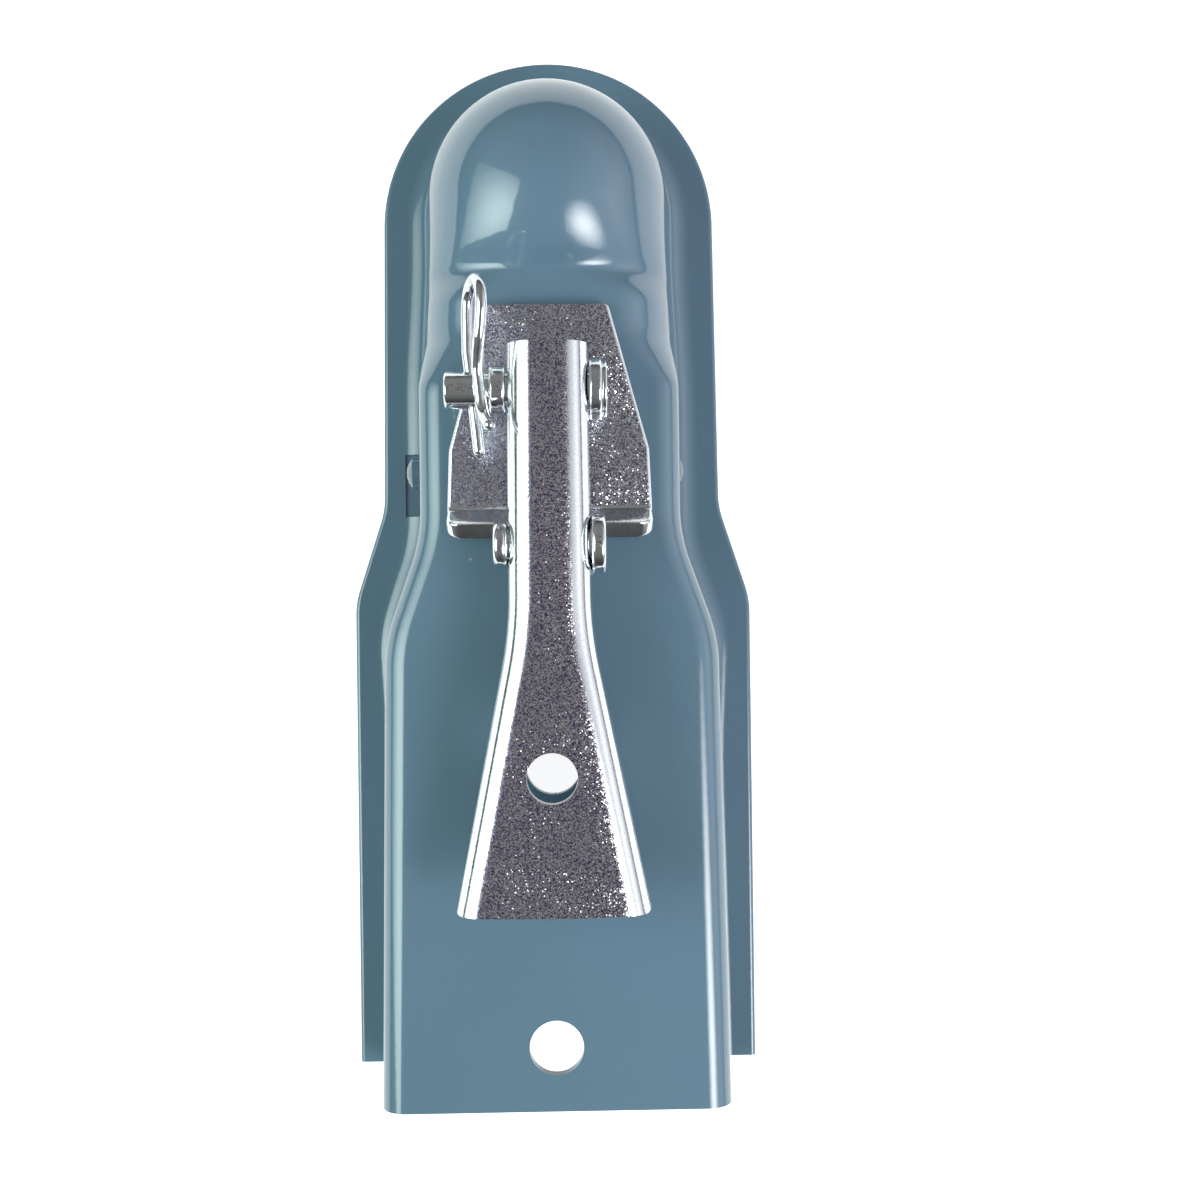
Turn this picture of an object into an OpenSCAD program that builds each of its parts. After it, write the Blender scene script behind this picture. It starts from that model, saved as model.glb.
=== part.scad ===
// Straight-tongue ball coupler for a trailer: a deep-drawn steel shell that sits over a channel
// tongue, with a cam lever on top that draws a ball clamp up under the tow ball.
// X is across, +Y points at the nose, +Z is up. The flange stands on z = 0 and the origin is the
// middle of the footprint.

/* [Shell] */
// Overall length, nose to rear edge
shell_length = 265; // [250:1:300]
// Thickness of the drawn sheet
sheet_t = 3.2; // [2.6:0.1:3.6]
// Height of the flat top above the underside of the flange
top_h = 46; // [44:0.5:50]
// Outside width of the raised channel at its rear end
channel_w = 84.4; // [80:0.2:88]
// Outside width of the raised channel just behind the neck
channel_front_w = 81; // [77:0.5:84]
// Outside width of the neck
neck_w = 63; // [60.5:0.5:66]
// Radius of the pressed edge along the flat top
edge_r = 6.3; // [5:0.1:8]
// Radius of the fillet between the walls and the flange
foot_r = 8.3; // [6:0.1:8.5]
// Lean of the walls over their height
wall_draft = 0.4; // [0.1:0.1:0.8]

/* [Flange] */
// Radius of the flange round the nose
flange_nose_r = 43.7; // [42:0.1:47]
// Width of the flange just in front of the widening
flange_neck_w = 89; // [88.5:0.5:92]
// Width of the flange at the rear end
flange_rear_w = 105; // [104:0.5:112]
// Rounding of the flange's edge
flange_edge_r = 1; // [0.5:0.1:1.2]

/* [Ball dome] */
// Tow ball diameter
ball_d = 50.8; // [50:0.1:51.5]
// Play between the ball and the drawn dome
ball_play = 1.4; // [1.2:0.1:1.8]
// Height of the centre of the dome
dome_z = 24; // [22:0.5:26]
// How far the dome sits ahead of the centre of the flange's nose
dome_lead = 1; // [0:0.1:2]
// Half of the flat where the dome runs out into the neck
saddle_flat = 14.4; // [12:0.2:16]

/* [Lengths behind the dome] */
// From the dome centre to the front of the shoulder ramp
ramp_start = 33.8; // [31:0.2:35]
// Length of the shoulder ramp
ramp_len = 16.5; // [14:0.5:18]
// From the dome centre to where the walls begin to widen
widen_start = 77.8; // [76.6:0.2:82]
// Length over which the walls widen
widen_len = 39; // [34:1:46]
// From the dome centre to where the flange begins to widen
flange_widen_start = 72.3; // [70:0.1:76]
// Length over which the flange widens
flange_widen_len = 31.5; // [28:0.5:36]

/* [Tongue bolt holes] */
// Radius of the two bolt holes in the top
bolt_hole_r = 6.5; // [5:0.1:7]
// From the rear edge to the first hole
bolt_from_end = 15.2; // [12:0.2:20]
// Between the two holes
bolt_spacing = 67; // [60:0.5:72]

/* [Latch plate] */
// Thickness of the latch plate
plate_t = 4; // [3:0.1:4.4]
// Length of the plate ahead of the pivot pin
plate_ahead = 21.5; // [18:0.5:23]
// From the pivot pin back to the bend of the lip
plate_behind = 25.7; // [24.5:0.1:27]
// Width of the plate at its front edge
plate_front_w = 28.8; // [26:0.2:30]
// Width of the plate at the lip
plate_rear_w = 48.4; // [44:0.2:50]
// Height of the upturned lip above the plate
lip_h = 5.5; // [4:0.1:5.8]
// Angle of the lip from the plate
lip_angle = 60; // [50:1:70]
// Radius inside the bend of the lip
lip_bend_r = 2; // [1.5:0.1:3]
// Rounding of the plate's corners
plate_corner_r = 2.5; // [1:0.1:3.5]

/* [Lever] */
// From the dome centre back to the pivot pin
pin_back = 51.9; // [50:0.1:54]
// Height of the pivot pin above the latch plate
pin_rise = 10; // [9.8:0.1:11]
// Thickness of the lever's sheet
lever_t = 3; // [2.5:0.1:3.2]
// Outside width of the lever at its front end
lever_front_w = 18.2; // [17:0.1:19]
// Outside width of the lever where the flare starts
lever_waist_w = 19.2; // [18.8:0.1:20]
// Outside width of the lever at its rear end
lever_rear_w = 44.6; // [40:0.2:48]
// Length of the lever ahead of the pivot pin
lever_ahead = 9.7; // [9:0.1:10]
// Length of the lever behind the pivot pin
lever_behind = 119.4; // [110:0.2:126]
// From the pivot pin back to the start of the flare
flare_start = 55; // [50:0.5:60]
// Radius outside the lever's long bends
lever_bend_r = 4.6; // [4:0.1:5.2]
// Radius of the curved rear edge
lever_end_r = 600; // [300:10:1200]
// Radius of the hole in the lever
lever_hole_r = 6; // [5:0.1:7]
// Radius of the cam on the lever's side walls
cam_r = 7.5; // [7:0.1:7.8]

/* [Pins] */
// Radius of the pivot pin
pin_r = 4.25; // [4:0.05:4.5]
// Radius of the pivot pin's head
pin_head_r = 7.2; // [6.5:0.1:7.6]
// Thickness of the pivot pin's head
pin_head_t = 2.7; // [2.2:0.1:4]
// How far the pin stands out beyond the lever on the clip side
pin_tail = 14; // [13:0.1:17]
// Thickness of the washer on the pin's tail
pin_washer_t = 3.7; // [3:0.1:4]
// Radius of the washer on the pin's tail
pin_washer_r = 5.6; // [5.2:0.1:6.5]
// Radius of the rivet
rivet_r = 4; // [3.5:0.1:4.2]
// Radius of the rivet's head
rivet_head_r = 7; // [6:0.1:7.2]
// Thickness of the rivet's head
rivet_head_t = 2.8; // [2.4:0.1:4]
// Radius of the rivet's formed end
rivet_tail_r = 5.5; // [5:0.1:6]
// From the pivot pin back to the rivet
rivet_back = 35.6; // [34.5:0.1:36.5]
// Height of the rivet above the pivot pin
rivet_up = 2.8; // [2.7:0.1:3]
// Running clearance round the pins
run_gap = 0.05; // [0.03:0.01:0.09]
// Gap between faces that pass each other
face_gap = 0.15; // [0.1:0.05:0.3]

/* [Hairpin clip] */
// Radius of the clip's wire
wire_r = 1.2; // [1:0.05:1.3]
// Angle of the clip from the coupler's axis
clip_angle = 6; // [3:0.5:8]
// How far the clip leans over towards the lever, in degrees
clip_lean = 18; // [12:1:20]
// Radius of the round head of the clip
clip_head_r = 6.5; // [6:0.1:7.5]
// From the pin to the centre of the clip's head
clip_reach = 17.4; // [17:0.1:20]
// Length of the straight leg behind the pin
clip_tail = 14; // [12:0.5:16]

/* [Draw bolt and clamp] */
// Radius of the draw bolt's shank
bolt_r = 4.75; // [4.5:0.05:5]
// Radius of the draw bolt's eye
eye_r = 7; // [6.8:0.05:7.1]
// Width of the draw bolt's eye
eye_w = 9; // [8:0.1:10]
// Across-flats size of the lock nut
nut_af = 16; // [15:0.5:17]
// Height of the lock nut
nut_h = 7.5; // [6:0.1:8]
// From the dome centre back to the clamp's pivot
clamp_back = 67.4; // [66:0.2:69]
// Height of the clamp's pivot
clamp_pivot_z = 18; // [17:0.2:19]
// Radius of the clamp's pivot
trunnion_r = 4.2; // [3.8:0.1:4.3]
// Thickness of the clamp
clamp_t = 4.5; // [4:0.1:5]
// Width of the clamp's arm
clamp_w = 34; // [32:0.5:36]
// Radius of the wire of the clamp spring
spring_wire_r = 1.2; // [1:0.1:1.4]
// Mean radius of the clamp spring
spring_r = 8.3; // [8:0.1:9]
// Number of turns of the clamp spring
spring_turns = 6; // [5:1:7]

/* [Hidden] */
$fn = 64;

// Places along Y
tip_y = shell_length / 2;
rear_y = -tip_y;
flange_y = tip_y - flange_nose_r;
dome_y = flange_y + dome_lead;
ramp_front_y = dome_y - ramp_start;
ramp_rear_y = ramp_front_y - ramp_len;
widen_front_y = dome_y - widen_start;
widen_rear_y = widen_front_y - widen_len;
flange_widen_y = dome_y - flange_widen_start;
pin_y = dome_y - pin_back;
rivet_y = pin_y - rivet_back;
clamp_y = dome_y - clamp_back;

// Dome and crease
dome_in_r = ball_d / 2 + ball_play;
dome_r = dome_in_r + sheet_t;
crease_y = dome_y - sqrt(pow(dome_r, 2) - pow(top_h - dome_z, 2));
crease_half = 4;
crease_round = 1.2;

// Heights of the latch
plate_top_z = top_h + plate_t;
pin_z = plate_top_z + pin_rise;
rivet_z = pin_z + rivet_up;
cam_seat_gap = 0.3;
lever_base_z = plate_top_z + cam_seat_gap;
lever_under_z = pin_z + max(eye_r + 0.4, rivet_up + rivet_r + 0.6);
lever_top_z = lever_under_z + lever_t;

// Slots for the draw bolt
slot_r = bolt_r + 1.2;
slot_half = 2.5;

function clamp01(t) = min(1, max(0, t));
// A ramp from 0 to 1 that is eased over the share q at both ends
function eased(t, q) =
    let(u = clamp01(t))
    u < q ? u * u / (2 * q * (1 - q))
    : u > 1 - q ? 1 - (1 - u) * (1 - u) / (2 * q * (1 - q))
    : (u - q / 2) / (1 - q);
function between(y, y0, y1, q) = eased((y - y0) / (y1 - y0), q);
function mix(a, b, t) = a + (b - a) * t;
// The larger of two values with a rounded change-over of size k
function round_max(a, b, k) = max(a, b) + pow(max(k - abs(a - b), 0), 2) / (4 * k);
// Steps from a up to, but without, b
function span(a, b, n) = [for (i = [0 : n - 1]) mix(a, b, i / n)];

// The drawn shell: each section runs from the spine out to the flange's edge and back inside
flat_steps = 2;
top_steps = 9;
foot_steps = 5;
nose_steps = 24;
shell_ys = concat(
    span(rear_y, widen_rear_y, 3),
    span(widen_rear_y, flange_widen_y, 15),
    span(flange_widen_y, ramp_rear_y, 2),
    span(ramp_rear_y, ramp_front_y, 6),
    span(ramp_front_y, crease_y - crease_half, 2),
    span(crease_y - crease_half, crease_y + crease_half, 6),
    span(crease_y + crease_half, dome_y, 4),
    [dome_y]);
n_side = len(shell_ys) - 1;
n_path = 2 * n_side + nose_steps;

function wall_half(y) =
    dome_r
    + (neck_w / 2 - dome_r) * between(y, dome_y - 8, ramp_rear_y, 0.3)
    + (channel_front_w - neck_w) / 2 * between(y, widen_front_y, widen_rear_y, 0.35)
    + (channel_w - channel_front_w) / 2 * clamp01((widen_rear_y - y) / (widen_rear_y - rear_y));
function flange_half(y) =
    flange_nose_r
    + (flange_neck_w / 2 - flange_nose_r) * clamp01((flange_y - y) / (flange_y - flange_widen_y))
    + (flange_rear_w - flange_neck_w) / 2
      * between(y, flange_widen_y, flange_widen_y - flange_widen_len, 0.22);
function dome_top(y) = dome_z + sqrt(max(0, pow(dome_r, 2) - pow(dome_y - y, 2)));
function spine_z(y) = round_max(top_h, dome_top(y), crease_round);
// 0 on the dome, 1 at the saddle behind it
function run_out(y) = between(y, dome_y - 1, crease_y, 0.3);
// 0 at the saddle, 1 where the shoulders are down to the pressed edge
function ramped(y) = between(y, ramp_front_y, ramp_rear_y, 0.25);
function shoulder_w(y) =
    mix(wall_half(y) - saddle_flat * run_out(y), edge_r, ramped(y));
function shoulder_h(y) = mix(spine_z(y) - dome_z, edge_r, ramped(y));
function nose_flange(a) = sqrt(pow(flange_nose_r, 2) - pow(dome_lead * cos(a), 2)) - dome_lead * sin(a);

function top_angle(j, even) =
    mix(max(0, 90 * (j - flat_steps) / (top_steps - flat_steps)), 90 * j / top_steps, even);
function top_point(j, w, a, b, z, even, t) =
    [(w - a) * min(1, j / flat_steps) + (a - t) * sin(top_angle(j, even)),
     z - b + (b - t) * cos(top_angle(j, even))];
function foot_point(k, w, t) =
    let(c = 90 * k / foot_steps, f = w + wall_draft + foot_r)
    [f - (foot_r + t) * cos(c), sheet_t + foot_r - (foot_r + t) * sin(c)];
function section(w, flange, a, b, z, even) = concat(
    [for (j = [0 : top_steps]) top_point(j, w, a, b, z, even, 0)],
    [for (k = [0 : foot_steps]) foot_point(k, w, 0)],
    [[flange - flange_edge_r, sheet_t], [flange, sheet_t - flange_edge_r]],
    [[flange, flange_edge_r], [flange - flange_edge_r, 0]],
    [for (k = [foot_steps : -1 : 0]) foot_point(k, w, sheet_t)],
    [for (j = [top_steps : -1 : 0]) top_point(j, w, a, b, z, even, sheet_t)]);
function side_section(y) =
    section(wall_half(y), flange_half(y), shoulder_w(y), shoulder_h(y), spine_z(y), 1 - run_out(y));
function nose_section(a) =
    section(dome_r, nose_flange(a), dome_r, dome_r, dome_z + dome_r, 1);
n_sec = len(side_section(dome_y));
n_skin = n_sec - 2;

function path_spine(p) = p <= n_side ? p : p <= n_side + nose_steps ? n_side : n_path - p;
function path_angle(p) = 180 * clamp01((p - n_side) / nose_steps);
function path_points(p) =
    let(s = path_spine(p), a = path_angle(p), on_nose = s == n_side,
        sec = on_nose ? nose_section(a) : side_section(shell_ys[s]))
    [for (j = [1 : n_sec - 2]) [sec[j][0] * cos(a), shell_ys[s] + sec[j][0] * sin(a), sec[j][1]]];
function spine_points(t) = [for (y = shell_ys) [0, y, spine_z(y) - t]];
function shell_id(p, j) =
    j == 0 ? path_spine(p)
    : j == n_sec - 1 ? n_side + 1 + path_spine(p)
    : 2 * (n_side + 1) + p * n_skin + j - 1;
function quad(a, b, c, d) = concat(a == b ? [] : [[a, b, c]], c == d ? [] : [[a, c, d]]);

module drawn_shell() {
    points = concat(
        spine_points(0), spine_points(sheet_t),
        [for (p = [0 : n_path]) each path_points(p)]);
    skin = [for (p = [0 : n_path - 1]) for (j = [0 : n_sec - 2])
        each quad(shell_id(p, j), shell_id(p + 1, j), shell_id(p + 1, j + 1), shell_id(p, j + 1))];
    rear_cap = [for (j = [0 : n_sec / 2 - 2]) let(i = n_sec - 1 - j) each concat(
        quad(shell_id(0, j), shell_id(0, j + 1), shell_id(0, i - 1), shell_id(0, i)),
        quad(shell_id(n_path, i), shell_id(n_path, i - 1), shell_id(n_path, j + 1), shell_id(n_path, j)))];
    polyhedron(points = points, faces = concat(skin, rear_cap));
}

// A round-ended slot along Y through a horizontal sheet
module bolt_slot(z0, z1) {
    translate([0, pin_y, z0])
        linear_extrude(z1 - z0)
            union() {
                for (s = [-1, 1]) translate([0, s * slot_half]) circle(slot_r);
                square([2 * slot_r, 2 * slot_half], center = true);
            }
}

// The window for the clamp's pivot in the left side, with the bore for its other end opposite
window_len = 16.5;
window_z = sheet_t + 0.3;
window_h = clamp_pivot_z + trunnion_r + 2 - window_z;
window_shift = 2;
trunnion_out = 2.7;
trunnion_left_x = neck_w / 2 + 5.4;
trunnion_crown_r = 6;

module coupler_body() {
    color("slategray")
    difference() {
        drawn_shell();
        for (i = [0, 1])
            translate([0, rear_y + bolt_from_end + i * bolt_spacing, top_h - 2 * sheet_t])
                cylinder(r = bolt_hole_r, h = 4 * sheet_t);
        bolt_slot(top_h - 2 * sheet_t, top_h + sheet_t);
        translate([-neck_w, clamp_y - window_shift - window_len / 2, window_z])
            cube([neck_w / 2 + sheet_t + 1, window_len, window_h]);
        across(clamp_y, clamp_pivot_z, neck_w / 4, neck_w, trunnion_r + run_gap);
    }
}

// The latch plate: a flat plate whose rear end is bent up into a lip
plate_front_y = pin_y + plate_ahead;
bend_y = pin_y - plate_behind;
bend_z = plate_top_z + lip_bend_r;
lip_len = (lip_h - lip_bend_r * (1 - cos(lip_angle))) / sin(lip_angle);
plate_side_y = bend_y + 13;

function bend_point(r, a) = [bend_y - r * sin(a), bend_z - r * cos(a)];
function lip_point(r) = bend_point(r, lip_angle) + lip_len * [-cos(lip_angle), sin(lip_angle)];

module latch_plate() {
    bend_steps = 8;
    outer_r = lip_bend_r + plate_t;
    color("silver")
    difference() {
        intersection() {
            rotate([90, 0, 90])
                linear_extrude(plate_rear_w + 2, center = true)
                    polygon(concat(
                        [[plate_front_y, top_h], [plate_front_y, plate_top_z]],
                        [for (i = [0 : bend_steps]) bend_point(lip_bend_r, lip_angle * i / bend_steps)],
                        [lip_point(lip_bend_r), lip_point(outer_r)],
                        [for (i = [bend_steps : -1 : 0]) bend_point(outer_r, lip_angle * i / bend_steps)]));
            linear_extrude(2 * top_h) plate_outline();
        }
        bolt_slot(top_h - 1, plate_top_z + 1);
    }
}

module plate_outline() {
    r = plate_corner_r;
    rear_y0 = lip_point(lip_bend_r + plate_t)[0];
    hull() {
        for (s = [-1, 1]) {
            translate([s * (plate_front_w / 2 - r / 2), plate_front_y - r / 2]) circle(r / 2, $fn = 32);
            translate([s * (plate_rear_w / 2 - 0.5 - r), plate_side_y]) circle(r, $fn = 32);
            translate([s * (plate_rear_w / 2 - r), bend_y]) circle(r, $fn = 32);
            translate([s * (plate_rear_w / 2 - r), rear_y0 + r]) circle(r, $fn = 32);
        }
    }
}

// The lever: a channel folded from one sheet, narrow at the pins and flared at the grip
lever_front_y = pin_y + lever_ahead;
lever_rear_y = pin_y - lever_behind;
flare_y = pin_y - flare_start;
lever_wall_z = top_h;
lever_splay = 0.3;
lever_fold_steps = 5;
lever_ys = concat(
    span(lever_rear_y - 1, flare_y - 12, 4),
    span(flare_y - 12, flare_y + 12, 10),
    span(flare_y + 12, lever_front_y, 2),
    [lever_front_y]);

function lever_half(y) = round_max(
    mix(lever_waist_w, lever_front_w, (y - flare_y) / (lever_front_y - flare_y)) / 2,
    mix(lever_waist_w, lever_rear_w, (flare_y - y) / (flare_y - lever_rear_y)) / 2,
    1.6);
function fold_point(w, i, t) =
    let(a = 90 * i / lever_fold_steps)
    [w - lever_bend_r + (lever_bend_r - t) * sin(a), lever_top_z - lever_bend_r + (lever_bend_r - t) * cos(a)];
function half_fold(w, t) = concat(
    [for (i = [0 : lever_fold_steps]) fold_point(w, i, t)],
    [[w + lever_splay - t, lever_wall_z]]);
function mirrored(pts) = [for (i = [len(pts) - 1 : -1 : 0]) [-pts[i][0], pts[i][1]]];
// Round the section: over the outside from left to right, then back along the inside
function lever_section(y) =
    let(w = lever_half(y), outside = half_fold(w, 0), inside = half_fold(w, lever_t))
    concat(mirrored(outside), outside,
           [for (i = [len(inside) - 1 : -1 : 0]) inside[i]],
           [for (q = inside) [-q[0], q[1]]]);

module lever_channel() {
    n = len(lever_section(0));
    last = len(lever_ys) - 1;
    points = [for (y = lever_ys) for (q = lever_section(y)) [q[0], y, q[1]]];
    skin = [for (k = [0 : last - 1]) for (i = [0 : n - 1])
        each quad(k * n + i, (k + 1) * n + i, (k + 1) * n + (i + 1) % n, k * n + (i + 1) % n)];
    ends = [for (i = [0 : n / 2 - 2]) let(j = n - 1 - i) each concat(
        quad(i, i + 1, j - 1, j),
        quad(last * n + j, last * n + j - 1, last * n + i + 1, last * n + i))];
    polyhedron(points = points, faces = concat(skin, ends));
}

// Side view of the lever: the cam under the pin, a clear run over the lip and a shallow grip
cam_z = lever_base_z + cam_r;
module lever_side() {
    lip_clear_z = plate_top_z + lip_h + 1.3;
    edge_z = lever_base_z + 0.06;
    polygon([
        [lever_rear_y - 5, lever_top_z + 5],
        [lever_front_y + 5, lever_top_z + 5],
        [lever_front_y + 5, lever_under_z - 1.5],
        [lever_front_y, lever_under_z - 1.5],
        [pin_y + cam_r - 0.2, cam_z + 1.2],
        [pin_y, cam_z],
        [pin_y, edge_z],
        [pin_y - 13, edge_z],
        [pin_y - 21, lip_clear_z],
        [flare_y, lip_clear_z + 0.6],
        [lever_rear_y - 5, lip_clear_z + 2.7]]);
}

module lever() {
    color("gainsboro")
    difference() {
        intersection() {
            lever_channel();
            union() {
                rotate([90, 0, 90]) linear_extrude(lever_rear_w + 4, center = true) lever_side();
                across(pin_y, cam_z, -lever_rear_w / 2, lever_rear_w / 2, cam_r);
            }
            translate([0, lever_rear_y + lever_end_r, lever_wall_z])
                cylinder(r = lever_end_r, h = lever_top_z, $fn = 128);
        }
        across(pin_y, pin_z, -lever_rear_w / 2, lever_rear_w / 2, pin_r + run_gap);
        across(rivet_y, rivet_z, -lever_rear_w / 2, lever_rear_w / 2, rivet_r + run_gap);
        translate([0, rear_y + bolt_from_end + bolt_spacing, lever_under_z - lever_t])
            cylinder(r = lever_hole_r, h = 3 * lever_t);
    }
}

// A cylinder along X between two places
module across(y, z, x0, x1, r) {
    translate([x0, y, z]) rotate([0, 90, 0]) cylinder(r = r, h = x1 - x0);
}

// A turned piece along X, from its outline as radius and place along X
module turned(y, z, outline) {
    translate([0, y, z]) rotate([0, 90, 0]) rotate_extrude() polygon(outline);
}

function lever_side_x(y) = lever_half(y) + lever_splay + face_gap;

module lever_rivet() {
    x = lever_side_x(rivet_y - rivet_head_r);
    bevel = 0.8;
    x_head = x + rivet_head_t;
    color("lightgray")
    turned(rivet_y, rivet_z, [
        [0, -x_head], [rivet_tail_r - 2 * bevel, -x_head], [rivet_tail_r, -x_head + bevel], [rivet_tail_r, -x],
        [rivet_r, -x], [rivet_r, x],
        [rivet_head_r, x], [rivet_head_r, x_head - bevel], [rivet_head_r - bevel, x_head], [0, x_head]]);
}

pin_x = lever_side_x(pin_y - pin_head_r);
// The clip crosses the pin at this distance from the middle
clip_x = pin_x + pin_washer_t + 4;
clip_hole_r = wire_r + 0.4;

module pivot_pin() {
    bevel = 0.7;
    x_tail = -pin_x - pin_tail;
    x_rim = pin_x + pin_head_t;
    color("lightgray")
    difference() {
        turned(pin_y, pin_z, [
            [0, x_tail], [pin_r - bevel, x_tail], [pin_r, x_tail + bevel], [pin_r, pin_x],
            [pin_head_r, pin_x], [pin_head_r, x_rim], [pin_head_r - 0.6, x_rim],
            [pin_head_r - 0.6, x_rim + 1.1], [0, x_rim + 1.1]]);
        translate([-clip_x, pin_y, pin_z])
            rotate([-90, 0, clip_angle])
                cylinder(r = clip_hole_r, h = 4 * pin_r, center = true);
    }
}

module pin_washer() {
    x = pin_x + pin_washer_t;
    color("lightgray")
    difference() {
        across(pin_y, pin_z, -x, -pin_x, pin_washer_r);
        across(pin_y, pin_z, -x - 1, -pin_x + 1, pin_r + run_gap);
    }
}

// A tube swept along points, with its ring turned by the sideways direction given
function unit(v) = v / norm(v);
function tangent(pts, i) = unit(pts[min(i + 1, len(pts) - 1)] - pts[max(i - 1, 0)]);
module wire(pts, r, sides, sideways) {
    n = len(pts);
    rings = [for (i = [0 : n - 1])
        let(d = tangent(pts, i), u = unit(cross(d, sideways(i))), v = cross(d, u))
        for (k = [0 : sides - 1]) pts[i] + r * (cos(360 * k / sides) * u + sin(360 * k / sides) * v)];
    skin = [for (i = [0 : n - 2]) for (k = [0 : sides - 1])
        let(a = i * sides + k, b = i * sides + (k + 1) % sides)
        each [[a, b + sides, b], [a, a + sides, b + sides]]];
    ends = [for (k = [1 : sides - 2]) each
        [[0, k, k + 1], [(n - 1) * sides, (n - 1) * sides + k + 1, (n - 1) * sides + k]]];
    polyhedron(points = rings, faces = concat(skin, ends));
}

// The clip, in its own frame: along the leg, sideways, up, from the middle of the pin
head_steps = 19;
leg_end = clip_reach / 2;
over_pin = (pin_r + wire_r + 0.17) / cos(clip_lean);
head_top = 2 * clip_head_r;
clip_path = concat(
    [for (u = [-clip_tail, -clip_tail / 2, 0, leg_end]) [u, 0]],
    [for (i = [0 : head_steps])
        let(a = -90 + 190 * i / head_steps)
        [clip_reach + clip_head_r * cos(a), clip_head_r * (1 + sin(a))]],
    [[clip_reach - 4.2, head_top - 1], [clip_reach - 7.2, head_top - 2.4], [7.6, head_top - 4.2],
     [5.2, over_pin + 1.2], [3.2, over_pin + 0.35], [1.4, over_pin + 0.03], [0, over_pin], [-2, over_pin],
     [-4, over_pin + 0.1], [-5.8, over_pin + 0.75], [-7.4, over_pin + 2], [-8.8, over_pin + 3.7],
     [-9.6, over_pin + 5]]);
// The head is bent a little sideways, so it lies along the coupler
clip_points = [for (q = clip_path) [q[0], max(0, q[0] - leg_end) * tan(clip_angle), q[1]]];

module hairpin_clip() {
    color("whitesmoke")
    translate([-clip_x, pin_y, pin_z])
        rotate([0, 0, 90 + clip_angle])
            mirror([0, 1, 0])
                rotate([-clip_lean, 0, 0])
                    wire(clip_points, wire_r, 8, function(i) [0, 1, 0]);
}

// The draw bolt's foot, nut and washers, from the clamp's underside down
clamp_base_z = clamp_pivot_z - trunnion_r + 0.2;
clamp_top_z = clamp_base_z + clamp_t;
nut_washer_t = 1.6;
seat_gap = 0.1;
nut_washer_z = clamp_base_z - seat_gap - nut_washer_t;
nut_z = nut_washer_z - nut_h;
bolt_foot_z = nut_z - 1.5;
spring_washer_t = 2;
spring_washer_z = top_h - sheet_t - spring_washer_t;

module draw_bolt() {
    color("gray")
    difference() {
        union() {
            across(pin_y, pin_z, -eye_w / 2, eye_w / 2, eye_r);
            intersection() {
                translate([0, pin_y, bolt_foot_z + 1]) cylinder(r = bolt_r, h = pin_z - bolt_foot_z - 1);
                translate([-eye_w / 2, pin_y - bolt_r, bolt_foot_z]) cube([eye_w, 2 * bolt_r, pin_z]);
            }
            translate([0, pin_y, bolt_foot_z]) cylinder(r1 = bolt_r - 1, r2 = bolt_r, h = 1.01);
        }
        across(pin_y, pin_z, -eye_w, eye_w, pin_r + run_gap);
    }
}

module ring(z, t, r, bore) {
    translate([0, pin_y, z])
        difference() {
            cylinder(r = r, h = t);
            translate([0, 0, -1]) cylinder(r = bore, h = t + 2);
        }
}

module spring_washer() {
    color("lightgray") ring(spring_washer_z, spring_washer_t, slot_r + slot_half + 3, bolt_r + 0.4);
}

module nut_washer() {
    color("lightgray") ring(nut_washer_z, nut_washer_t, nut_af / 2 + 0.6, bolt_r + 0.3);
}

module lock_nut() {
    collar_h = 2;
    color("lightgray")
    translate([0, pin_y, nut_z])
        difference() {
            union() {
                translate([0, 0, collar_h]) cylinder(r = nut_af / sqrt(3), h = nut_h - collar_h, $fn = 6);
                cylinder(r = nut_af / 2 - 0.5, h = collar_h);
            }
            translate([0, 0, -1]) cylinder(r = bolt_r + run_gap, h = nut_h + 2);
        }
}

// The spring: closed turns at both ends and open ones between
spring_end_gap = 0.1;
spring_low_z = clamp_top_z + spring_end_gap + spring_wire_r;
spring_high_z = spring_washer_z - spring_end_gap - spring_wire_r;
spring_steps = 14;
closed_rise = 2.2 * spring_wire_r;
function spring_height(turn) =
    turn < 1 ? closed_rise * turn
    : turn > spring_turns - 1 ? spring_high_z - spring_low_z - closed_rise * (spring_turns - turn)
    : mix(closed_rise, spring_high_z - spring_low_z - closed_rise, (turn - 1) / (spring_turns - 2));
function spring_spoke(i) = [cos(360 * i / spring_steps), sin(360 * i / spring_steps), 0];

module clamp_spring() {
    points = [for (i = [0 : spring_turns * spring_steps])
        spring_r * spring_spoke(i) + [0, pin_y, spring_low_z + spring_height(i / spring_steps)]];
    color("dimgray") wire(points, spring_wire_r, 6, function(i) -spring_spoke(i));
}

// The ball clamp: a forged arm on a pivot, with a cupped jaw that bears on the ball from below
ball_z = dome_z + dome_in_r - ball_d / 2;
jaw_gap = 0.4;
jaw_in_r = ball_d / 2 + jaw_gap;
jaw_t = 5.4;
jaw_half_angle = 38;
jaw_low_z = 5;
jaw_high_z = clamp_top_z + 2;
arm_end_y = dome_y - jaw_in_r - jaw_t / 2;
arm_start_y = clamp_y - trunnion_r - 2;
arm_rib_h = 4.5;
arm_rib_t = 3.5;

// The domed ends of the clamp's pivot
crown_steps = 5;
function crown_point(i, x, side) =
    let(a = asin(trunnion_r / trunnion_crown_r) * i / crown_steps)
    [trunnion_crown_r * sin(a), x + side * trunnion_crown_r * (1 - cos(a))];

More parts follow.
